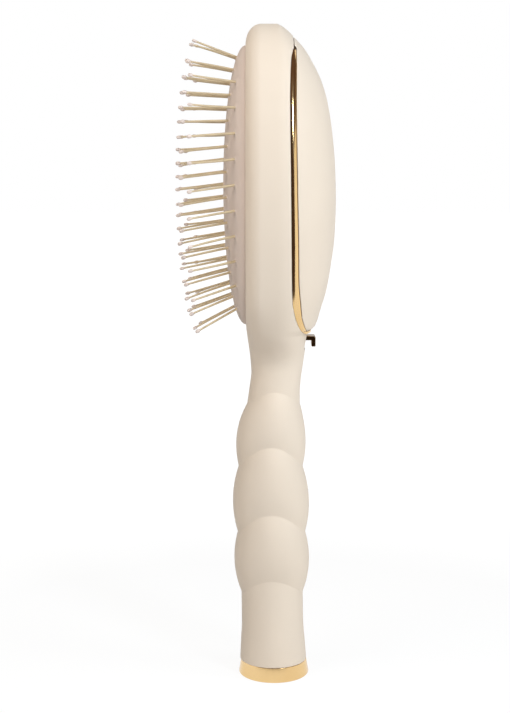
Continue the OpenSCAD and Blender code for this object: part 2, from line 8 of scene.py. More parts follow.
import bpy
import numpy as np
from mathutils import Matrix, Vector


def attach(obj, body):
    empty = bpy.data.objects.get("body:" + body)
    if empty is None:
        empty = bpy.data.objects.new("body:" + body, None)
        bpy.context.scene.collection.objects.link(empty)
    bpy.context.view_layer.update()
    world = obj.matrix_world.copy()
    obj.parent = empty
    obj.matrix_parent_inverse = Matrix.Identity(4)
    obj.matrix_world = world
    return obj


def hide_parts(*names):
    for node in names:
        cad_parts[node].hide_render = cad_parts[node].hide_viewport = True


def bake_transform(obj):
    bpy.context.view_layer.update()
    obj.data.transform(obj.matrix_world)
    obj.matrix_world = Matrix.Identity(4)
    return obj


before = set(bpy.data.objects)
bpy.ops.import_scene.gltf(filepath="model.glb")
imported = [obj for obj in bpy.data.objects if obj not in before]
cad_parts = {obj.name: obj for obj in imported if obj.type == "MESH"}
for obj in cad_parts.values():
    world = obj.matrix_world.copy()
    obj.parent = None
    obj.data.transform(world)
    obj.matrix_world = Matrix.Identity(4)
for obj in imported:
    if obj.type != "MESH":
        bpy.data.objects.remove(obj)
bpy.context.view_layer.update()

MM = 0.001

# Sizes of the handle, the neck and the head
cap_h, cap_foot_r, cap_top_r, cap_round = 5.6, 13.1, 12.3, 0.7
spigot_l, cap_wall, spigot_gap = 9.0, 1.6, 0.05
stem_z, low_crease_z, high_crease_z, throat_z = 31.5, 54.6, 79.6, 103.2
stem_r, low_crease_r, top_crease_r, neck_r = 11.5, 12.6, 11.9, 9.2
lobe_bulge, crease_rise, handle_lean, waist_h = 1.95, 9.0, 1.3, 10.8
core_r, core_top_z = 7.4, 97.2
neck_z, widest_z, crown_z = 114.0, 184.0, 240.0
flank_h, crest_h, head_l = widest_z - neck_z, crown_z - widest_z, crown_z - neck_z
head_w, rim_y, dome_y, widest_y = 62.0, 10.45, 22.1, 0.7
neck_lean, corner_w, corner_d = 0.75, 7.0, 5.45
throat_h, blend_h, neck_flare, foot_flare = 23.1, 29.4, 0.055, 0.8

# Sizes of the cushion and its pins
cushion_w, cushion_l, cushion_z, cushion_h, cushion_t = 47.0, 100.0, 182.5, 8.1, 1.6
flange_w, flange_y, flange_t = 1.5, -8.75, 1.5
groove_w, groove_y, well_floor_y, soft_gap = 1.8, -9.05, -1.0, 0.3
pin_rows, row_pitch, row_rise, outer_pin_x, end_pin_z = 21, 4.45, 1.0, 20.8, 46.5
pin_l, pin_root_r, pin_neck_r, ball_r, ball_l = 17.5, 0.46, 0.34, 0.66, 1.9
pin_head_r, pin_head_t, fan_tilt, side_tilt = 1.1, 0.6, 27.0, 19.0
ball_luck_share, bend_luck, luck_limit = 0.1, 0.45, 1.6

# Sizes of the cover, the trim, the hinge and the latch
store_w, store_l, store_z, store_floor_y = 47.0, 92.0, 179.5, 1.0
tip_z, cover_tip_z, seam_top_z = 130.0, 131.0, 232.5
seam_y, ledge_y, cover_seam_y, cover_tip_y, cover_t = 5.1, 11.2, 7.35, 11.6, 1.8
trim_gap, trim_inset, trim_end_z = 0.12, 0.4, 221.4
hinge_y, hinge_z, barrel_r, hinge_pin_r, knuckle_w, ear_w = 7.3, 230.6, 1.4, 0.6, 6.0, 2.2
swing_r, swing_w, hinge_gap, pin_fit = 4.6, 14.0, 0.2, 0.05
swing_flat_w, swing_mid_w, swing_mid_r, swing_end_r = 5.4, 9.52, 3.22, 0.97
swing_top_y, swing_floor_z, tail_end_y = 6.38, 229.68, 6.58
ear_back_y, ear_root_y, ear_neck_t, ear_neck_angle, rib_z = 7.15, 3.7, 1.2, 195.3, 225.5
slider_w, slider_front_y, slider_back_y, slide_gap = 9.0, 2.6, 7.6, 0.25
shaft_floor_z, shaft_top_z = 113.5, 144.5
spring_r, spring_wire_r, spring_turns, spring_h = 2.0, 0.25, 4, 6.0
tab_w, tab_t, tab_y, tab_z, tab_leg_h = 7.0, 1.5, 15.0, 128.4, 3.8
latch_travel, slot_gap = 3.0, 0.2
tongue_w, tongue_t, tongue_z, tongue_lip_h, tongue_y, lip_y = 6.0, 1.5, 139.5, 2.0, 3.0, 4.5

# Roundings that only show close by
seam_round, joint_round, mouth_round, crease_soft = 0.35, 0.25, 0.35, 0.03
tip_round, store_round, band_bulge, cap_edge_round, tab_edge_round = 0.7, 1.0, 0.28, 0.18, 0.22
tab_root_round, tab_inner_round, tab_leg_round, tab_outer_round = 0.05, 0.25, 0.3, 0.6
collar_h, collar_r, dimple_h, dimple_r, dimple_w = 0.28, 0.85, 0.16, 1.5, 0.6

# How far a cutter runs past what it cuts, and how deep an added piece is sunk
overrun, sunk = 1.0, 0.2

# Shares along the handle, the head, the seams and the cushion
lean_shares = [[0, -0.08], [0.26, -0.5], [0.45, -0.7], [0.58, -0.88], [0.68, -1], [0.78, -0.93],
               [0.85, -0.7], [0.9, -0.25], [0.95, 0.08], [1, 0.57]]
stem_flare_shares = [[0, 1], [0.15, 0.75], [0.32, 0.45], [0.55, 0.06], [0.8, 0], [1, 0]]
flank_shares = [[0, 0], [0.03, 0.002], [0.06, 0.0165], [0.09, 0.055], [0.12, 0.115], [0.15, 0.193],
                [0.2, 0.332], [0.25, 0.44], [0.35, 0.608], [0.45, 0.733], [0.55, 0.828],
                [0.65, 0.898], [0.75, 0.949], [0.85, 0.982], [0.95, 0.998], [1, 1]]
back_shares = [[0, 0], [0.06, 0.09], [0.122, 0.18], [0.145, 0.41], [0.19, 0.56], [0.25, 0.74],
               [0.32, 0.865], [0.4, 0.965], [0.5, 1], [0.6, 0.968], [0.7, 0.872], [0.78, 0.735],
               [0.84, 0.55], [0.9, 0.24], [0.932, 0.03], [0.957, -0.205], [0.975, -0.38],
               [0.99, -0.564], [1, -0.76]]
body_seam_shares = [[0, 1], [0.008, 0.8], [0.02, 0.64], [0.041, 0.475], [0.065, 0.333],
                    [0.122, 0.148], [0.195, 0.098], [0.302, 0.066], [0.527, 0.01],
                    [0.8, -0.04], [0.9, 0], [0.945, 0.05], [0.975, 0.16], [0.99, 0.27], [1, 0.328]]
cover_seam_shares = [[0, 1], [0.02, 0.79], [0.056, 0.54], [0.113, 0.38], [0.187, 0.22],
                     [0.295, 0.17], [0.52, 0.04], [0.8, -0.05], [0.93, 0], [1, 0]]
tilt_shares = [[-1, -1.1], [-0.87, -1], [-0.78, -0.76], [-0.52, -0.44], [-0.15, -0.31],
               [0.25, -0.22], [0.5, -0.01], [0.73, 0.22], [0.85, 0.5], [0.91, 0.7], [1, 0.9]]
crease_rise_shares = [0.75, 1, 1, 0.6]

# Values along a curve


def mix(a, b, t):
    """The value a share t of the way from a to b."""
    return a + (b - a) * t


def ease(t):
    """Zero up to 0, one from 1 on, and in between three t squared less two t cubed."""
    s = np.clip(t, 0, 1)
    return s * s * (3 - 2 * s)


def root(t):
    """Square root that is zero below zero."""
    return np.sqrt(np.maximum(t, 0))


def arch(t):
    """How far a quarter circle has left its tangent: one less the root of one less t squared."""
    return 1 - root(1 - np.clip(t, 0, 1) ** 2)


def curve(table, s):
    """Smooth line through a table's points: a cubic on each stretch, whose slope at a point is the
    harmonic mean of the climbs on both sides, or none where the line turns."""
    places, values = np.array(table, float).T
    climbs = np.diff(values) / np.diff(places)
    before, after = climbs[:-1], climbs[1:]
    turning = before * after <= 0
    slopes = np.where(turning, 0, 2 * before * after / np.where(turning, 1, before + after))
    slopes = np.concatenate([climbs[:1], slopes, climbs[-1:]])
    i = np.clip(np.searchsorted(places, s, side="right") - 1, 0, len(places) - 2)
    w = places[i + 1] - places[i]
    t = np.clip((s - places[i]) / w, 0, 1)
    u = 1 - t
    return (values[i] * (1 + 2 * t) * u * u + slopes[i] * w * t * u * u
            + values[i + 1] * (1 + 2 * u) * t * t - slopes[i + 1] * w * u * t * t)


# Outer shape of the neck and head: a circle at the neck that turns into a section with a flat
# front, rounded corners and an elliptical back


def lean(z):
    """Depth of the handle's middle line: its shares, from the foot to the neck."""
    return handle_lean * curve(lean_shares, z / neck_z)


def waist_r(z):
    """Radius under the neck: grows with the square of the distance from the narrowest place."""
    return neck_r * (1 + neck_flare * ((neck_z - z) / waist_h) ** 2)


def half_width(z):
    """Half the width: the neck's radius, the flank's shares up to the widest place, an ellipse."""
    flank = mix(neck_r, head_w / 2, curve(flank_shares, (z - neck_z) / flank_h))
    crest = head_w / 2 * root(1 - ((z - widest_z) / crest_h) ** 2)
    return np.where(z >= widest_z, crest, np.where(z > neck_z, flank, waist_r(z)))


def mid_y(z):
    """Depth of the widest line: the handle's middle, eased over from the neck's to the head's."""
    return np.where(z < neck_z, lean(z), mix(neck_lean, widest_y, ease((z - neck_z) / blend_h)))


def front_y(z):
    """Front line: the neck's circle, the flat rim, and a quarter ellipse over the crown."""
    crown = corner_d * arch(1 - (crown_z - z) / corner_w) - rim_y
    rim = mix(neck_lean - neck_r, -rim_y, ease((z - neck_z) / throat_h))
    return np.where(z > crown_z - corner_w, crown, np.where(z > neck_z, rim, lean(z) - waist_r(z)))


def back_y(z):
    """Rear line of the whole head, cover included."""
    head = mix(neck_lean + neck_r, dome_y, curve(back_shares, (z - neck_z) / head_l))
    return np.where(z > neck_z, head, lean(z) + waist_r(z))


def corner_inset(y):
    """How far the rounded front corner draws in: a quarter ellipse over the corner's depth."""
    return corner_w * arch((corner_d - rim_y - y) / corner_d)


def side_x(z, y):
    """Half width at a height and depth: an ellipse behind the widest line, and in front of it a
    circle at the neck that turns into the head's rounded corner."""
    mid, front, back, half = mid_y(z), front_y(z), back_y(z), half_width(z)
    rear = half * root(1 - ((y - mid) / (back - mid)) ** 2)
    round_front = half * root(1 - ((mid - y) / (mid - front)) ** 2)
    inset = corner_inset(y)
    crest = (head_w / 2 - inset) * root(1 - ((z - widest_z) / (crest_h - inset)) ** 2)
    cornered = np.where(z > widest_z, crest, half - inset)
    return np.where(y > mid, rear, mix(round_front, cornered, ease((z - neck_z) / blend_h)))


def body_seam(z):
    """Depth of the body's edge in front of the gold band: its shares, from the lower tip up."""
    return mix(seam_y, ledge_y, curve(body_seam_shares, (z - tip_z) / (seam_top_z - tip_z)))


def cover_seam(z):
    """Depth of the cover's edge behind the gold band, found in the same way."""
    share = (z - cover_tip_z) / (seam_top_z - cover_tip_z)
    return mix(cover_seam_y, cover_tip_y, curve(cover_seam_shares, share))


def waves(count):
    """Places from 0 to 1 that crowd at both ends, by a half cosine."""
    return (1 - np.cos(np.linspace(0, math.pi, count))) / 2


# Meshes


def skin(rings):
    """Quads between neighbouring rings of a (rings, points, 3) grid and a flat face at each end,
    wound so that the faces point outwards. Gives the points, the corners and the face sizes."""
    count, columns = rings.shape[:2]
    points = rings.reshape(-1, 3)
    j = np.arange(columns)
    a = np.arange(count - 1)[:, None] * columns + j
    b = np.arange(count - 1)[:, None] * columns + (j + 1) % columns
    quads = np.stack([a, b, b + columns, a + columns], -1).reshape(-1, 4)
    ends = np.stack([j[::-1], (count - 1) * columns + j])
    fans = np.stack([np.repeat(ends[:, :1], columns - 2, 1), ends[:, 1:-1], ends[:, 2:]], -1)
    triangles = np.concatenate([quads[:, :3], quads[:, [0, 2, 3]], fans.reshape(-1, 3)])
    p = (points - points.mean(0))[triangles]
    if np.einsum("ij,ij->", p[:, 0], np.cross(p[:, 1], p[:, 2])) < 0:
        quads, ends = quads[:, ::-1], ends[:, ::-1]
    sizes = np.concatenate([np.full(len(quads), 4), np.full(2, columns)])
    return points, np.concatenate([quads.ravel(), ends.ravel()]), sizes


def solid(name, *grids, sharp=30):
    """One object with a closed skin over each grid of rings, smooth but for its sharp edges."""
    skins = [skin(np.asarray(grid, float)) for grid in grids]
    first = np.cumsum([0] + [len(s[0]) for s in skins])
    points = np.concatenate([s[0] for s in skins])
    corners = np.concatenate([s[1] + n for s, n in zip(skins, first)])
    sizes = np.concatenate([s[2] for s in skins])
    mesh = bpy.data.meshes.new(name)
    mesh.vertices.add(len(points))
    mesh.vertices.foreach_set("co", (points * MM).ravel())
    mesh.loops.add(len(corners))
    mesh.loops.foreach_set("vertex_index", corners)
    mesh.polygons.add(len(sizes))
    mesh.polygons.foreach_set("loop_start", np.cumsum(sizes) - sizes)
    mesh.update(calc_edges=True)
    smooth(mesh, sharp)
    piece = bpy.data.objects.new(name, mesh)
    bpy.context.scene.collection.objects.link(piece)
    return piece


def smooth(mesh, sharp):
    """Smooth shading, parted where two faces meet at more than a number of degrees."""
    mesh.shade_smooth()
    mesh.set_sharp_from_angle(angle=math.radians(sharp))


def shape(piece, operation, *tools, sharp=30):
    """Adds the tools to a piece, or takes them out of it, one after the other."""
    for tool in tools:
        step = piece.modifiers.new(tool.name, "BOOLEAN")
        step.operation, step.solver, step.object = operation, "MANIFOLD", tool
    view = bpy.context.evaluated_depsgraph_get()
    mesh = bpy.data.meshes.new_from_object(piece.evaluated_get(view))
    piece.modifiers.clear()
    plain, piece.data = piece.data, mesh
    bpy.data.meshes.remove(plain)
    for tool in tools:
        bpy.data.objects.remove(tool)
    piece.data.name = piece.name
    smooth(piece.data, sharp)


def oval(name, profile, half_w, half_l, centre_z, steps=192):
    """Profile of (spread, depth) pairs carried round an ellipse in the plane of the head."""
    a = np.linspace(0, 2 * math.pi, steps, endpoint=False)
    spread, depth = np.array(profile, float).T[:, :, None]
    x, z = (half_w + spread) * np.sin(a), centre_z + (half_l + spread) * np.cos(a)
    return solid(name, np.stack([x, depth + 0 * a, z], -1))


def lathe(name, profile, steps):
    """Profile of (radius, height) pairs turned about the long axis."""
    a = np.linspace(0, 2 * math.pi, steps, endpoint=False)
    r, z = np.array(profile, float).T[:, :, None]
    return solid(name, np.stack([r * np.cos(a), r * np.sin(a), z + 0 * a], -1))


def bar(name, outline, *reaches):
    """Outline of (depth, height) pairs drawn out along X, one solid for each (from, to) reach."""
    y, z = np.array(outline, float).T
    return solid(name, *[[np.stack([0 * y + x, y, z], -1) for x in reach] for reach in reaches])


def block(name, half_x, y_low, y_high, z_low, z_high):
    """Box between two depths and two heights, half_x wide on each side of the middle."""
    outline = [(y_low, z_low), (y_high, z_low), (y_high, z_high), (y_low, z_high)]
    return bar(name, outline, (-half_x, half_x))


def disc(radius, start=0.0, stop=360.0, steps=72):
    """Points of a circle about the hinge axis as (depth, height) pairs."""
    a = np.radians(np.linspace(start, stop, steps, endpoint=stop - start < 360))
    return np.stack([hinge_y + radius * np.cos(a), hinge_z + radius * np.sin(a)], -1)


def rounded(corners, steps=7):
    """Outline through (depth, height, radius) corners, each turned into an arc about the point
    that lies its radius away from both sides."""
    out = []
    p = np.array(corners, float)
    for here, before, after in zip(p, np.roll(p, 1, 0), np.roll(p, -1, 0)):
        u, v = before[:2] - here[:2], after[:2] - here[:2]
        u, v = u / np.linalg.norm(u), v / np.linalg.norm(v)
        half = math.acos(np.clip(u @ v, -1, 1)) / 2
        middle = here[:2] + (u + v) / np.linalg.norm(u + v) * here[2] / math.sin(half)
        reach = here[2] / math.tan(half)
        start, stop = here[:2] + u * reach - middle, here[:2] + v * reach - middle
        turn = math.atan2(start[0] * stop[1] - start[1] * stop[0], start @ stop)
        for a in np.linspace(0, turn, steps):
            c, s = math.cos(a), math.sin(a)
            out.append(middle + (start[0] * c - start[1] * s, start[0] * s + start[1] * c))
    return np.array(out)


# Body: handle with three swellings, neck and head frame in one moulding. Its columns go round from
# the front: the side ones reach back to the split, and the rear ones close the ring behind it.

split_angle, side_columns, rear_columns, crowd_share = math.radians(153.3), 78, 28, 0.72


def round_angles():
    """Angles of the columns: crowded on both sides of the split and at the front, by taking a sine
    away from even steps."""
    t = np.linspace(0, 1, side_columns)
    side = split_angle * (t - crowd_share * np.sin(2 * math.pi * t) / (2 * math.pi))
    side[0] = side[1] / 2
    rear = np.linspace(split_angle, 2 * math.pi - split_angle, rear_columns + 2)[1:-1]
    return np.concatenate([side, rear, 2 * math.pi - side[::-1]])


around, slack = round_angles(), 1e-6
is_rear = np.abs(around - math.pi) < math.pi - split_angle - slack


def crease_z(k, a):
    """Height of a crease: its place in front, and a rise with the squared sine of the angle."""
    places = [stem_z, low_crease_z, high_crease_z, throat_z]
    return places[k] + crease_rise * crease_rise_shares[k] * np.sin(a) ** 2


def crease_r(k, a):
    """Radius in a crease: one size all round, but at the throat it is that of the waist."""
    return waist_r(crease_z(3, a)) if k == 3 else [stem_r, low_crease_r, top_crease_r][k] + 0 * a


def ring(z, r, a):
    """Circle about the handle's middle line, with its angle counted from the front towards +X."""
    return np.stack([r * np.sin(a), lean(z) - r * np.cos(a), z + 0 * a], -1)


def stem_rings():
    """Stem: the radius flares towards the foot, and its lowest edge is a quarter round."""
    u = mix(0, 1, np.linspace(0, 1, 36) ** 1.5)[:, None]
    z = mix(cap_h, crease_z(0, around), u)
    r = mix(stem_r, (cap_foot_r + cap_top_r) / 2, foot_flare * curve(stem_flare_shares, u))
    return ring(z, r - joint_round * arch(1 - (z - cap_h) / joint_round), around)


def lobe_rings(k):
    """Swelling: a parabola between its two creases, levelled off a little at each end. A crease
    climbs with the squared sine of the angle from the front."""
    u = waves(42)[1:, None]
    z = mix(crease_z(k, around), crease_z(k + 1, around), u)
    rise = np.hypot(4 * u * (1 - u), crease_soft) - crease_soft
    return ring(z, mix(crease_r(k, around), crease_r(k + 1, around), u) + lobe_bulge * rise, around)


def shaped_rings(z, split, rear, edge=0):
    """Neck or head: half a cosine carries the depth from the front to the split, and another one
    from there to the rear line. Where edge is set, the ring is cut off flat at the split instead,
    and a quarter circle rounds its corners."""
    c, turn = np.cos(around), math.cos(split_angle)
    y = np.where(is_rear, mix(split, rear, (turn - c) / (1 + turn)),
                 mix(front_y(z), split, (1 - c) / (1 - turn)))
    x = side_x(z, y)
    if edge:
        flat = (side_x(z, split) - edge) * np.abs(np.sin(around)) / math.sin(split_angle)
        x = np.where(is_rear, flat, x - edge * arch((y - split) / edge + 1))
        y = np.where(is_rear, split, y)
    return np.stack([np.where(around < math.pi, x, -x), y, z + 0 * y], -1)


def body_rings():
    """Whole outer skin from the end cap up: stem, three swellings and neck, then the head up to the
    seam's end, cut off flat at the seam, and the crown, closed all round. A step between two close
    rings parts them, and no ring comes nearer than clear to the seam's end."""
    step, clear, first_angle, last_angle = 0.002, 0.05, 0.9, 89.3
    neck = mix(crease_z(3, around), tip_z, waves(46)[1:, None])
    flank = mix(tip_z, widest_z, np.linspace(0, 1, 120) ** 1.3)[:, None] + step
    climb = np.sin(np.radians(np.linspace(first_angle, last_angle, 110)))
    crest = mix(widest_z, crown_z, climb)[:, None]
    low = np.concatenate([flank, crest[crest[:, 0] < seam_top_z - clear], [[seam_top_z]]])
    high = np.concatenate([[[seam_top_z + step]], crest[crest[:, 0] > seam_top_z + clear]])
    neck_split = mix(front_y(neck), back_y(neck), (1 - math.cos(split_angle)) / 2)
    low_split = np.minimum(body_seam(low), back_y(low))
    front, seam, back = (float(f(np.array(seam_top_z))) for f in (front_y, body_seam, back_y))
    high_split = mix(front_y(high), back_y(high), (seam - front) / (back - front))
    return np.concatenate([stem_rings(), *[lobe_rings(k) for k in range(3)],
                           shaped_rings(neck, neck_split, back_y(neck)),
                           shaped_rings(low, low_split, back_y(low), seam_round),
                           shaped_rings(high, high_split, back_y(high))])


def seat_cutter():
    """Cushion's seat: a rounded mouth, a bore, the groove for the flange and the air chamber."""
    bend = np.linspace(0, math.pi / 2, 8)
    mouth = [(soft_gap + mouth_round * (1 - math.sin(a)), -rim_y + mouth_round * (1 - math.cos(a)))
             for a in bend]
    far = groove_w + soft_gap
    return oval("seat", [(mouth[0][0], -rim_y - overrun), *mouth, (soft_gap, groove_y),
                         (far, groove_y), (far, flange_y + flange_t + soft_gap),
                         (soft_gap, flange_y + flange_t + soft_gap), (soft_gap, well_floor_y)],
                cushion_w / 2, cushion_l / 2, cushion_z)


def swing_cutter():
    """Space for the cover's tail: half discs across the hinge axis, which shrink towards the ends
    as the tail does. Each reaches down to the floor under the axis, as far as its radius allows."""
    most_share = 0.9
    half = [(swing_flat_w, swing_r), (swing_mid_w, swing_mid_r), (swing_w, swing_end_r)]
    x, r = np.array([(-w, r) for w, r in half[::-1]] + half).T[:, :, None]
    under = np.arcsin(np.minimum((hinge_z - swing_floor_z) / r, most_share))
    a = mix(-under, math.pi + under, np.linspace(0, 1, 90))
    y, z = hinge_y + r * np.cos(a), np.maximum(hinge_z + r * np.sin(a), swing_floor_z)
    return solid("swing", np.stack([x + 0 * a, y, z], -1))


def make_body():
    """Outer skin, less the cushion's seat, the storage space with its rounded foot, the hinge's
    space, the latch's shaft and slot and the handle's bore, plus two ears with the pin's bore."""
    body = solid("body_shell", body_rings())
    bend = np.linspace(0, math.pi / 2, 8)
    foot = zip(store_round * (np.sin(bend) - 1),
               store_floor_y + store_round - store_round * np.cos(bend))
    store = oval("store", [*foot, (0, dome_y + overrun)], store_w / 2, store_l / 2, store_z)
    open_top = block("open_top", swing_w, swing_top_y, dome_y, swing_floor_z, crown_z + overrun)
    room_w = knuckle_w / 2 + ear_w + 2 * hinge_gap
    knuckle_room = bar("knuckle_room", disc(barrel_r + hinge_gap), (-room_w, room_w))
    shaft = block("shaft", slider_w / 2 + slide_gap, slider_front_y - slide_gap,
                  slider_back_y + slide_gap, shaft_floor_z, shaft_top_z)
    slot_low = tab_z - tab_t - latch_travel - 2 * slot_gap
    slot = block("slot", tab_w / 2 + slot_gap, slider_back_y, dome_y, slot_low, tab_z + slot_gap)
    core = lathe("core", [(core_r, cap_h - overrun), (core_r, core_top_z)], 96)
    shape(body, "DIFFERENCE", seat_cutter(), store, swing_cutter(), open_top, knuckle_room, shaft,
          slot, core)
    back_angle = math.degrees(math.acos((ear_back_y - hinge_y) / barrel_r))
    ear = [(ear_root_y, rib_z), (ear_root_y, swing_floor_z),
           (ear_back_y - ear_neck_t, swing_floor_z),
           *disc(barrel_r, -back_angle, ear_neck_angle, 60)[::-1], (ear_back_y, rib_z)]
    inner = knuckle_w / 2 + hinge_gap
    for side in (-1, 1):
        shape(body, "UNION", bar("ear", ear, (side * inner, side * (inner + ear_w))))
    bore = disc(hinge_pin_r + pin_fit / 2)
    shape(body, "DIFFERENCE", bar("pin_bore", bore, (-swing_w / 2, swing_w / 2)))
    return body


# End cap: plated shell with a rounded foot edge and a hollow spigot


def make_end_cap():
    """Profile from the foot's edge to the joint's, each a quarter circle, then up the spigot with
    its bevelled end and down inside it."""
    foot, edge = cap_foot_r - cap_round, cap_edge_round
    bend = np.linspace(-math.pi / 2, 0, 12)
    lip = np.linspace(0, math.pi / 2, 6)
    spigot, top, inner = core_r - spigot_gap, cap_h + spigot_l, core_r - cap_wall
    return lathe("end_cap_shell", [
        *[(foot + cap_round * math.cos(a), cap_round + cap_round * math.sin(a)) for a in bend],
        *[(cap_top_r - edge + edge * math.cos(a), cap_h - edge + edge * math.sin(a)) for a in lip],
        (spigot, cap_h), (spigot, top - cap_wall / 2), (spigot - cap_wall / 2, top),
        (inner, top), (inner, cap_wall)], 200)


# Rear cover: domed shell with a knuckle, a tail that swings into the crown, and a tongue


def cover_rings():
    """Outer arc by angle from edge to edge, crowded at the edges, then the hollow inside: its roof
    runs a wall's thickness under the outer ellipse and closes towards both ends."""
    top, half_round = hinge_z + swing_r, tip_round / 2
    most_share, least_share, end_share, bow_share = 0.94, 0.5, 0.035, 0.1
    z = np.concatenate([cover_tip_z + half_round * waves(8)[:4],
                        np.linspace(cover_tip_z + half_round, hinge_z, 150),
                        np.linspace(hinge_z, top, 30)[1:]])[:, None]
    y = cover_seam(z) - (cover_seam_y - tail_end_y) * ease((z - hinge_z) / barrel_r)
    m, back = mid_y(z), back_y(z)
    draw = tip_round * arch(1 - (z - cover_tip_z) / tip_round)
    w, r = half_width(z), back - m - draw
    b = np.arcsin(np.clip((y - m) / r, 0, 1))
    a = mix(b, math.pi - b, waves(120))
    yy = m + r * np.sin(a)
    outer_x = w * np.cos(a)
    outer_x = outer_x - np.sign(outer_x) * np.minimum(seam_round * arch((y - yy) / seam_round + 1),
                                                      np.abs(outer_x))
    inner_w, inner_r, edge_x = w - cover_t, r - cover_t, w * np.cos(b)
    inner_x = inner_w * root(1 - ((y - m) / inner_r) ** 2)
    inner_edge = np.maximum(np.minimum(inner_x, edge_x * most_share), edge_x * least_share)
    share = (z - cover_tip_z) / (top - cover_tip_z)
    hollow = ease(np.minimum(share, 1 - share) / end_share - 1)
    c = np.linspace(0, math.pi, 60)
    x = -inner_edge * np.cos(c)
    shallow = mix(y, m + r, bow_share * np.sin(c))
    roof = np.maximum(shallow, m + inner_r * root(1 - (x / inner_w) ** 2))
    yi = mix(shallow, roof, hollow)
    return np.stack([np.concatenate([outer_x, x], 1), np.concatenate([yy, yi], 1),
                     np.concatenate([z + 0 * yy, z + 0 * yi], 1)], -1)


def make_cover():
    """Shell, whose tail is cut to a circle about the hinge axis and at both sides, less the rooms
    for the ears, plus the knuckle and the tongue with its lip."""
    cover = solid("rear_cover_shell", cover_rings())
    reach = head_w / 2 + overrun
    front, back = hinge_y - 2 * swing_r, hinge_y + 2 * swing_r
    tail = disc(swing_r - hinge_gap, 180, 0, 60)
    above = bar("above", [(front, hinge_z), (front, crown_z), (back, crown_z), (back, hinge_z),
                          *tail[::-1]], (-reach, reach))
    sides = bar("sides", [(front, hinge_z), (back, hinge_z), (back, crown_z), (front, crown_z)],
                (-reach, hinge_gap - swing_w), (swing_w - hinge_gap, reach))
    inner, ear_room = knuckle_w / 2, ear_w + 2 * hinge_gap
    rooms = [bar("ear_room", disc(barrel_r + hinge_gap), (s * inner, s * (inner + ear_room)))
             for s in (-1, 1)]
    shape(cover, "DIFFERENCE", above, sides, *rooms)
    root_y = float(back_y(np.array(tongue_z))) - cover_t + sunk
    tongue = [(tongue_y, tongue_z - tongue_lip_h), (lip_y, tongue_z - tongue_lip_h),
              (lip_y, tongue_z), (root_y, tongue_z), (root_y, tongue_z + tongue_t),
              (tongue_y, tongue_z + tongue_t)]
    shape(cover, "UNION", bar("knuckle", disc(barrel_r), (-inner, inner)),
          bar("tongue", tongue, (-tongue_w / 2, tongue_w / 2)))
    bore = disc(hinge_pin_r + pin_fit)
    shape(cover, "DIFFERENCE", bar("pin_bore", bore, (-knuckle_w, knuckle_w)))
    return cover


# Trim: plated band in the seam, slightly crowned, with a lip under the cover's lower tip


def make_trim():
    """Filling between the two seams, inset from the head's outline and raised by half a sine across
    the band. The storage space and the hinge's room are cut out of it."""
    lip_low, lip_top = tip_z + trim_gap, cover_tip_z - trim_gap
    climb = np.linspace(0, 1, 170) ** 1.3
    z = np.concatenate([[lip_low, lip_top], mix(cover_tip_z, hinge_z, climb)])[:, None]
    t = np.linspace(0, 1, 15)
    under = z < cover_tip_z
    low = body_seam(z) + trim_gap
    lip_y = float(back_y(np.array(cover_tip_z))) - trim_inset
    high = np.where(under, lip_y, cover_seam(z) - trim_gap)
    at = np.where(under, cover_tip_z, z)
    y = mix(low, high, t)
    x = side_x(at, y) - trim_inset + band_bulge * np.sin(math.pi * t)
    band = solid("trim_shell", np.stack([np.concatenate([x, -x[:, ::-1]], 1),
                                         np.concatenate([y, y[:, ::-1]], 1),
                                         z + np.zeros((1, 2 * len(t)))], -1), sharp=40)
    wall = [(0, store_floor_y), (0, dome_y + overrun)]
    shape(band, "DIFFERENCE", oval("store", wall, store_w / 2, store_l / 2, store_z),
          block("hinge_room", swing_w, 0, dome_y, trim_end_z, crown_z), sharp=40)
    return band


# Latch tab: bent metal strip with rounded edges


def make_tab():
    """L-shaped outline drawn out along X, drawn in by a quarter circle at each end."""
    under, leg, tip = tab_z - tab_t, tab_y - tab_t, tab_z - tab_leg_h
    line = rounded([(slider_back_y, under, tab_root_round), (leg, under, tab_inner_round),
                    (leg, tip, tab_leg_round), (tab_y, tip, tab_leg_round),
                    (tab_y, tab_z, tab_outer_round), (slider_back_y, tab_z, tab_root_round)])
    ahead = np.roll(line, -1, 0) - np.roll(line, 1, 0)
    normal = np.stack([ahead[:, 1], -ahead[:, 0]], -1) / np.linalg.norm(ahead, axis=1)[:, None]
    a = np.linspace(0, math.pi / 2, 6)
    x = tab_w / 2 - tab_edge_round * (1 - np.sin(a))
    inset = tab_edge_round * (1 - np.cos(a))
    rings = []
    for place, depth in [*zip(-x[::-1], inset[::-1]), *zip(x, inset)]:
        drawn = line - normal * depth
        rings.append(np.stack([np.full(len(line), place), drawn[:, 0], drawn[:, 1]], -1))
    return solid("latch_tab_plate", rings, sharp=50)


# Spring under the slider: a round wire along a helix, which presses together as the latch goes down


def make_spring():
    """Circle of the wire, upright beside the axis, carried round while it climbs evenly."""
    share = np.linspace(0, 1, 36 * spring_turns + 1)[:, None]
    turn = 2 * math.pi * spring_turns * share
    round_wire = np.linspace(0, 2 * math.pi, 12, endpoint=False)
    low, high = shaft_floor_z + spring_wire_r, shaft_floor_z + spring_h - spring_wire_r
    middle_y = (slider_front_y + slider_back_y) / 2
    r = spring_r + spring_wire_r * np.cos(round_wire)
    z = mix(low, high, share) + spring_wire_r * np.sin(round_wire)
    return solid("latch_spring_coil",
                 np.stack([r * np.cos(turn), middle_y + r * np.sin(turn), z], -1))


# Pins and cushion


def dome_at(x, z):
    """Depth of the rubber's surface: an ellipsoid that rises out of the rim's plane."""
    across, up = 2 * x / cushion_w, 2 * (z - cushion_z) / cushion_l
    return -rim_y - cushion_h * root(1 - across ** 2 - up ** 2)


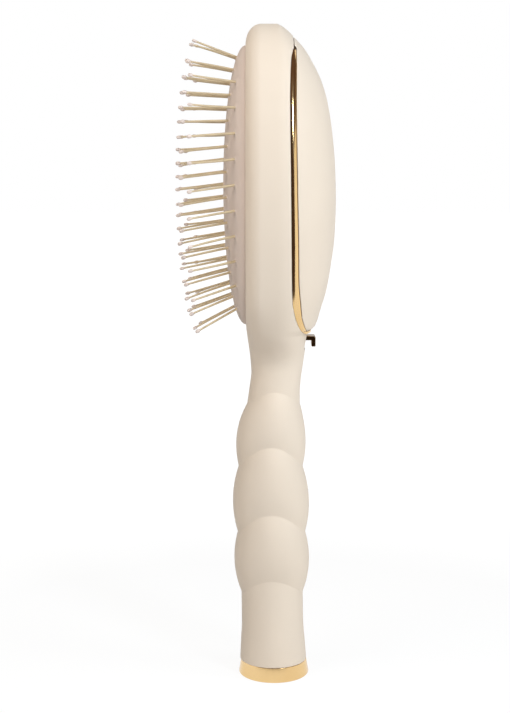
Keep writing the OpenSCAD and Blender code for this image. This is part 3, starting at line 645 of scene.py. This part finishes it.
def row_places(m):
    """Roots of a row's pins: the row's height, and shares of its half width, which alternate."""
    z = cushion_z + row_rise + row_pitch * m
    half = outer_pin_x * float(root(1 - ((z - cushion_z) / end_pin_z) ** 2))
    shares = [-1, 0, 1] if abs(m) == pin_rows // 2 else \
        [-1, -1 / 3, 1 / 3, 1] if m % 2 == 0 else [-2 / 3, 0, 2 / 3]
    return [(share, share * half, float(dome_at(share * half, z)), z) for share in shares]


def pin_grid(share, x, y, z, luck):
    """Pin: a flat head behind the rubber, a tapered shaft and an oval ball, as rings square to a
    line that leaves the dome at the row's tilt and bends with the square of the length. Luck sets
    how fat the ball is and which way the line bends."""
    ball_power, end_r, end_inset = 0.8, 0.1, 0.015
    row_tilt = float(curve(tilt_shares, np.array(2 * (z - cushion_z) / cushion_l)))
    tilt, turn = math.radians(fan_tilt * row_tilt), math.radians(side_tilt * share)
    level = math.cos(tilt)
    way = np.array([level * math.sin(turn), -level * math.cos(turn), math.sin(tilt)])
    across = np.cross(way, [0, 0, 1])
    across /= np.linalg.norm(across)
    up = np.cross(across, way)
    back, neck = cushion_t + pin_head_t, pin_l - ball_l
    a = np.linspace(0, math.pi, 10)[1:-1]
    ball_at = pin_l - ball_l * (1 + np.cos(a)) / 2
    ball = ball_r * (1 + ball_luck_share * luck[0]) * np.sin(a) ** ball_power
    along = np.concatenate([[-back, -cushion_t, -cushion_t, 0], np.linspace(0, neck, 8)[1:],
                            ball_at[1:], [pin_l - end_inset]])
    r = np.concatenate([[pin_head_r, pin_head_r, pin_root_r, pin_root_r],
                        mix(pin_root_r, pin_neck_r, np.linspace(0, 1, 8))[1:], ball[1:], [end_r]])
    sides = np.linspace(0, 2 * math.pi, 16, endpoint=False)
    bend = np.maximum(along, 0) ** 2 / pin_l ** 2
    line = np.array([x, y, z]) + along[:, None] * way \
        + bend[:, None] * bend_luck * (luck[1] * across + luck[2] * up)
    return line[:, None] + r[:, None, None] * (np.cos(sides)[None, :, None] * across
                                               + np.sin(sides)[None, :, None] * up), along


def make_row(index, dice):
    """Pins of one row. Their tip attribute eases from nought on the shaft to one on the ball."""
    tip_reach, fade = ball_l * 1.05, 0.5
    grids, marks = [], []
    for place in row_places(index - pin_rows // 2):
        grid, along = pin_grid(*place, dice.normal(size=3).clip(-luck_limit, luck_limit))
        grids.append(grid)
        marks.append(np.repeat(ease((along - pin_l + tip_reach) / fade), grid.shape[1]))
    row = solid(f"pin_row_{index + 1:02d}_pins", *grids, sharp=60)
    tip = row.data.attributes.new("tip", "FLOAT", "POINT")
    tip.data.foreach_set("value", np.concatenate(marks))
    return row


def make_cushion(roots):
    """Rubber dome: an ellipsoid with a low collar and a dimple round each pin, a flange in the
    groove, and the same dome a wall's thickness further in. The collar rises by e to minus the
    fourth power of the distance from the pin, and the dimple sinks by e to minus the square of the
    distance from its circle."""
    a, first_angle = np.linspace(0, 2 * math.pi, 440, endpoint=False), 0.8

    def dome(t, wall):
        t = np.radians(t)[:, None]
        return np.stack([(cushion_w / 2 - wall) * np.sin(t) * np.sin(a),
                         -rim_y - (cushion_h - wall) * np.cos(t) + 0 * a,
                         cushion_z + (cushion_l / 2 - wall) * np.sin(t) * np.cos(a)], -1)

    def hoop(spread, y):
        return np.stack([(cushion_w / 2 + spread) * np.sin(a), y + 0 * a,
                         cushion_z + (cushion_l / 2 + spread) * np.cos(a)], -1)[None]

    outer = dome(np.linspace(first_angle, 90, 140), 0)
    gap = np.full(outer.shape[:2], np.inf)
    for x, z in roots:
        gap = np.minimum(gap, np.hypot(outer[..., 0] - x, outer[..., 2] - z))
    dimple = dimple_h * np.exp(-((gap - dimple_r) / dimple_w) ** 2)
    outer[..., 1] += dimple - collar_h * np.exp(-(gap / collar_r) ** 4)
    inner = dome(np.linspace(90, first_angle, 30), cushion_t)
    skirt = flange_y + flange_t
    return solid("cushion_dome", np.concatenate([
        outer, hoop(0, flange_y), hoop(flange_w, flange_y), hoop(flange_w, skirt),
        hoop(-cushion_t, skirt), inner]))


# Finishes


class Wire:
    """One value in a finish. Arithmetic on it adds Math nodes."""

    def __init__(self, finish, socket):
        self.finish, self.socket = finish, socket

    def math(self, operation, first, second):
        return self.finish.node("ShaderNodeMath", {"operation": operation}, {0: first, 1: second})

    def __add__(self, other):
        return self.math("ADD", self, other)

    def __mul__(self, other):
        return self.math("MULTIPLY", self, other)

    __radd__, __rmul__ = __add__, __mul__


class Finish:
    """A procedural finish on Object coordinates. Plain values go straight onto the shader."""

    def __init__(self, name, holder=None, **plain):
        self.holder = holder or bpy.data.materials.new(name)
        self.holder.use_nodes = True
        self.tree = self.holder.node_tree
        self.tree.nodes.clear()
        self.place = self.node("ShaderNodeTexCoord", {}, {}, "Object") if holder is None else None
        if plain:
            self.shader = self.tree.nodes.new("ShaderNodeBsdfPrincipled")
            for socket, value in plain.items():
                self.shader.inputs[socket.replace("_", " ")].default_value = value
            self.show(Wire(self, self.shader.outputs[0]))

    def show(self, wire):
        """Links a shader to the output of the material or the surroundings."""
        kind = "ShaderNodeOutputWorld" if isinstance(self.holder, bpy.types.World) \
            else "ShaderNodeOutputMaterial"
        self.node(kind, {}, {"Surface": wire}, None)

    def node(self, kind, settings, values, output=0):
        """Adds a node: its settings first, then the values or links of its sockets."""
        made = self.tree.nodes.new(kind)
        for name, value in settings.items():
            setattr(made, name, value)
        for socket, value in values.items():
            if isinstance(value, Wire):
                self.tree.links.new(value.socket, made.inputs[socket])
            else:
                made.inputs[socket].default_value = value
        return None if output is None else Wire(self, made.outputs[output])

    def noise(self, scale, detail=2.0, stretch=None):
        """Noise from 0 to 1, with scale spots to a metre, stretched along the axes if asked."""
        values = {"Vector": self.place, "Scale": scale, "Detail": detail}
        if stretch:
            values["Vector"] = self.node("ShaderNodeMapping", {}, {"Vector": self.place,
                                                                   "Scale": stretch})
        return self.node("ShaderNodeTexNoise", {}, values)

    def blend(self, low, high, share):
        """Colour a share of the way from low to high, each of them a colour or a blend."""
        low, high = (end if isinstance(end, Wire) else (*end, 1) for end in (low, high))
        return self.node("ShaderNodeMix", {"data_type": "RGBA"}, {0: share, 6: low, 7: high}, 2)

    def feed(self, **wires):
        """Links values that change over the surface to the shader's sockets."""
        for socket, wire in wires.items():
            self.tree.links.new(wire.socket, self.shader.inputs[socket.replace("_", " ")])

    def bump(self, height, distance, strength):
        """Raises the surface by height times distance, in metres."""
        values = {"Strength": strength, "Distance": distance, "Height": height}
        self.feed(Normal=self.node("ShaderNodeBump", {}, values))


def soft_touch():
    """Cream soft-touch paint: a faint cloudiness and a very fine pebbled grain."""
    finish = Finish("soft_touch_cream", Roughness=0.55, Specular_IOR_Level=0.35, Sheen_Weight=0.12,
                    Sheen_Roughness=0.4)
    cloud, grain = finish.noise(38, detail=3.0), finish.noise(2600)
    deep, light = (0.81, 0.69, 0.57), (0.88, 0.76, 0.635)
    finish.feed(Base_Color=finish.blend(deep, light, cloud),
                Roughness=0.5 + 0.1 * cloud + 0.06 * grain)
    finish.bump(grain, distance=0.00004, strength=0.5)
    return finish.holder


def polished_gold():
    """Polished gold plating: fine hairlines along the band and a slight cloud in the gloss."""
    finish = Finish("polished_gold", Metallic=1.0, Roughness=0.16)
    hair, cloud = finish.noise(900, stretch=(1, 1, 0.05)), finish.noise(70)
    deep, light = (0.76, 0.50, 0.22), (0.89, 0.65, 0.34)
    finish.feed(Base_Color=finish.blend(deep, light, cloud),
                Roughness=0.1 + 0.08 * hair + 0.06 * cloud)
    finish.bump(hair, distance=0.000008, strength=0.4)
    return finish.holder


def dark_bronze():
    """Dark bronze plating of the tab: clouded, with a fine grain."""
    finish = Finish("dark_bronze", Metallic=1.0, Roughness=0.28)
    cloud, grain = finish.noise(160, detail=3.0), finish.noise(3000)
    deep, light = (0.16, 0.09, 0.035), (0.30, 0.19, 0.09)
    finish.feed(Base_Color=finish.blend(deep, light, cloud), Roughness=0.22 + 0.12 * cloud)
    finish.bump(grain, distance=0.00001, strength=0.5)
    return finish.holder


def blush_rubber():
    """Matt pinkish-beige rubber: slightly clouded, with a fine grain in gloss and height."""
    finish = Finish("blush_rubber", Roughness=0.75, Specular_IOR_Level=0.3, Sheen_Weight=0.2)
    cloud, grain = finish.noise(55, detail=3.0), finish.noise(2200, detail=3.0)
    deep, light = (0.71, 0.585, 0.515), (0.79, 0.665, 0.59)
    finish.feed(Base_Color=finish.blend(deep, light, cloud), Roughness=0.68 + 0.14 * grain)
    finish.bump(grain, distance=0.00006, strength=0.6)
    return finish.holder


def pin_nylon():
    """Golden-beige shafts with pale pinkish balls, parted by the pieces' own tip attribute."""
    finish = Finish("pin_nylon", Roughness=0.4, Specular_IOR_Level=0.45)
    tip = finish.node("ShaderNodeAttribute", {"attribute_name": "tip"}, {}, "Fac")
    streak, grain = finish.noise(300), finish.noise(5000)
    shaft = finish.blend((0.60, 0.46, 0.27), (0.76, 0.62, 0.42), streak)
    ball = finish.blend((0.72, 0.58, 0.52), (0.86, 0.76, 0.70), streak)
    finish.feed(Base_Color=finish.blend(shaft, ball, tip), Roughness=0.34 + 0.12 * grain)
    finish.bump(grain, distance=0.00001, strength=0.4)
    return finish.holder


def bright_steel():
    """Bright steel of the hinge pin, the catch and the spring: hairlines across the head."""
    finish = Finish("bright_steel", Metallic=1.0, Roughness=0.25)
    hair = finish.noise(700, detail=3.0, stretch=(0.06, 1, 1))
    deep, light = (0.45, 0.45, 0.46), (0.62, 0.62, 0.63)
    finish.feed(Base_Color=finish.blend(deep, light, hair), Roughness=0.18 + 0.16 * hair)
    finish.bump(hair, distance=0.00001, strength=0.4)
    return finish.holder


def dark_acetal():
    """Dark moulded slider: slightly clouded, with a moulded grain."""
    finish = Finish("dark_acetal", Roughness=0.5, Specular_IOR_Level=0.4)
    cloud, grain = finish.noise(90), finish.noise(1800)
    deep, light = (0.06, 0.05, 0.045), (0.10, 0.09, 0.08)
    finish.feed(Base_Color=finish.blend(deep, light, cloud), Roughness=0.42 + 0.14 * grain)
    finish.bump(grain, distance=0.00003, strength=0.5)
    return finish.holder


# The pieces, their bodies and the nodes that they stand for


def dress(piece, body, node, finish):
    """Gives a piece its finish and the body that it rides on, if it rides on just one, and hides
    the node that it stands for."""
    piece.data.materials.clear()
    piece.data.materials.append(finish)
    if body:
        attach(piece, body)
    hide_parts(node)


cream, gold, nylon, steel = soft_touch(), polished_gold(), pin_nylon(), bright_steel()
dress(make_body(), "frame", "body", cream)
dress(make_end_cap(), "frame", "end_cap", gold)
dress(make_trim(), "frame", "trim_band", gold)
dress(make_cover(), "cover", "rear_cover", cream)
dress(make_tab(), "latch", "latch_tab", dark_bronze())

dice = np.random.default_rng(7)
for index in range(pin_rows):
    dress(make_row(index, dice), "pin_bed", f"pin_row_{index + 1:02d}", nylon)

roots = [(x, z) for m in range(-(pin_rows // 2), pin_rows // 2 + 1)
         for _, x, _, z in row_places(m)]
cushion = make_cushion(roots)
dress(cushion, None, "cushion", blush_rubber())
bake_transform(cushion)

spring = make_spring()
dress(spring, None, "latch_spring", steel)
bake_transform(spring)

for node, finish in [("hinge_pin", steel), ("latch_catch", steel), ("latch_slider", dark_acetal())]:
    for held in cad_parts[node].material_slots:
        held.material = finish

# Studio: white ground and surroundings, dim sheets that paint a dark reflection into the metal
# only, and soft lamps

scene = bpy.context.scene
scene.view_settings.view_transform = "Standard"
white, matt_white = (1, 1, 1, 1), (0.9, 0.9, 0.9, 1)
# The red is the dim glow of the sheets that paint a dark reflection into the metal
warm_white, painted_reflection_red = (1.0, 0.9, 0.78, 1), (1, 0.62, 0.48, 1)


def seen_rays(finish):
    """One for the rays of the camera, of gloss and of glass, and nought for the others."""
    ray = finish.tree.nodes.new("ShaderNodeLightPath")
    camera, gloss, glass = (Wire(finish, ray.outputs[n]) for n in
                            ("Is Camera Ray", "Is Glossy Ray", "Is Transmission Ray"))
    seen = camera + gloss + glass
    return seen.math("MINIMUM", seen, 1.0)


def set_world(light):
    """Surroundings that show white and shed only a little warm light."""
    world = bpy.data.worlds.new("surroundings")
    scene.world = world
    finish = Finish("surroundings", world)
    plain = finish.node("ShaderNodeBackground", {}, {"Color": warm_white, "Strength": light})
    shown = finish.node("ShaderNodeBackground", {}, {"Color": white, "Strength": 1.0})
    finish.show(finish.node("ShaderNodeMixShader", {}, {0: seen_rays(finish), 1: plain, 2: shown}))


def lay_plane(name, corners):
    """Flat piece of the studio through four corners."""
    mesh = bpy.data.meshes.new(name)
    mesh.from_pydata(corners, [], [(0, 1, 2, 3)])
    plane = bpy.data.objects.new(name, mesh)
    scene.collection.objects.link(plane)
    return plane


def make_floor(near_glow, clear_r, full_glow=1.07, reach=4):
    """Ground that glows white to the eye. Near the object it stays matt enough to hold a shadow:
    the glow rises from its near share to full between half the clear radius and all of it."""
    floor = lay_plane("floor", [(-reach, -reach, 0), (reach, -reach, 0), (reach, reach, 0),
                                (-reach, reach, 0)])
    finish = Finish("white_ground")
    matt = finish.node("ShaderNodeBsdfDiffuse", {}, {"Color": matt_white})
    light = finish.node("ShaderNodeEmission", {}, {"Color": white, "Strength": full_glow})
    far = finish.node("ShaderNodeVectorMath", {"operation": "LENGTH"}, {0: finish.place}, "Value")
    glow = finish.node("ShaderNodeMapRange", {}, {"Value": far, "From Min": clear_r / 2,
                                                  "From Max": clear_r, "To Min": near_glow})
    share = seen_rays(finish) * glow
    finish.show(finish.node("ShaderNodeMixShader", {}, {0: share, 1: matt, 2: light}))
    floor.data.materials.append(finish.holder)


def add_painted_reflection(name, corners, glow):
    """Dim glowing sheet that shows only in the polished metal: a painted dark reflection of the
    unlit room around the set.
    """
    reflection_sheet = lay_plane(name, corners)
    finish = Finish(name)
    finish.show(finish.node("ShaderNodeEmission", {}, {"Color": painted_reflection_red, "Strength": glow}))
    reflection_sheet.data.materials.append(finish.holder)
    reflection_sheet.visible_camera = reflection_sheet.visible_diffuse = reflection_sheet.visible_shadow = False


def add_lamp(name, place, power, colour, size=0.3, aim=(0, 0, 0.17), mirrored=False):
    """Round soft lamp. Only the key lamp is mirrored in the metal, as a narrow highlight."""
    data = bpy.data.lights.new(name, "AREA")
    data.shape, data.size, data.energy, data.color = "DISK", size, power, colour
    lamp = bpy.data.objects.new(name, data)
    lamp.location = place
    way = np.array(aim) - np.array(place)
    lamp.rotation_mode = "QUATERNION"
    lamp.rotation_quaternion = Vector(way).to_track_quat("-Z", "Y")
    lamp.visible_glossy = mirrored
    scene.collection.objects.link(lamp)


def set_camera():
    """Camera on the +X side, eight degrees down, as fitted to the end cap's ring and the rim."""
    focal_px, photo_px, film_mm, pitch = 1444, 713, 36, 8.13
    data = bpy.data.cameras.new("camera")
    data.lens, data.sensor_width = focal_px * film_mm / photo_px, film_mm
    camera = bpy.data.objects.new("camera", data)
    camera.location = (0.5252, -0.0071, 0.1955)
    camera.rotation_euler = (math.radians(90 - pitch), 0, math.radians(90))
    scene.collection.objects.link(camera)
    scene.camera = camera


set_world(light=0.1)
make_floor(near_glow=0.85, clear_r=0.3)
# Painted dark reflection: sheets that only the gold and the bronze mirror, where the unlit room
# would be
add_painted_reflection("room_ahead", [(1.5, -2.5, 0), (1.5, 1.5, 0), (1.5, 1.5, 2.6), (1.5, -2.5, 2.6)], 0.06)
add_painted_reflection("room_above", [(-1, -2.5, 1.5), (2.5, -2.5, 1.5), (2.5, 2.5, 1.5), (-1, 2.5, 1.5)], 0.12)
add_painted_reflection("room_right", [(-1, 1.5, 0.6), (2.5, 1.5, 0.6), (2.5, 1.5, 1.5), (-1, 1.5, 1.5)], 0.1)
add_painted_reflection("set_edge", [(0.14, -2.5, 0.002), (1.5, -2.5, 0.002), (1.5, 1.5, 0.002),
                      (0.14, 0.14, 0.002)], 0.06)
cool, warm = (0.92, 1.06, 1.2), (1.06, 0.96, 0.84)
add_lamp("key", (0.42, 0.30, 0.46), power=1.19, colour=cool, size=0.14, mirrored=True)
add_lamp("side", (0.20, 0.60, 0.35), power=1.6, colour=(0.98, 1.01, 1.01))
add_lamp("upper", (0.35, -0.25, 0.62), power=0.52, colour=cool)
add_lamp("left", (0.15, -0.27, 0.42), power=0.66, colour=warm, aim=(0, 0, 0.2))
add_lamp("front", (0.85, 0.12, 0.30), power=1.22, colour=(1.03, 0.97, 0.88))
set_camera()
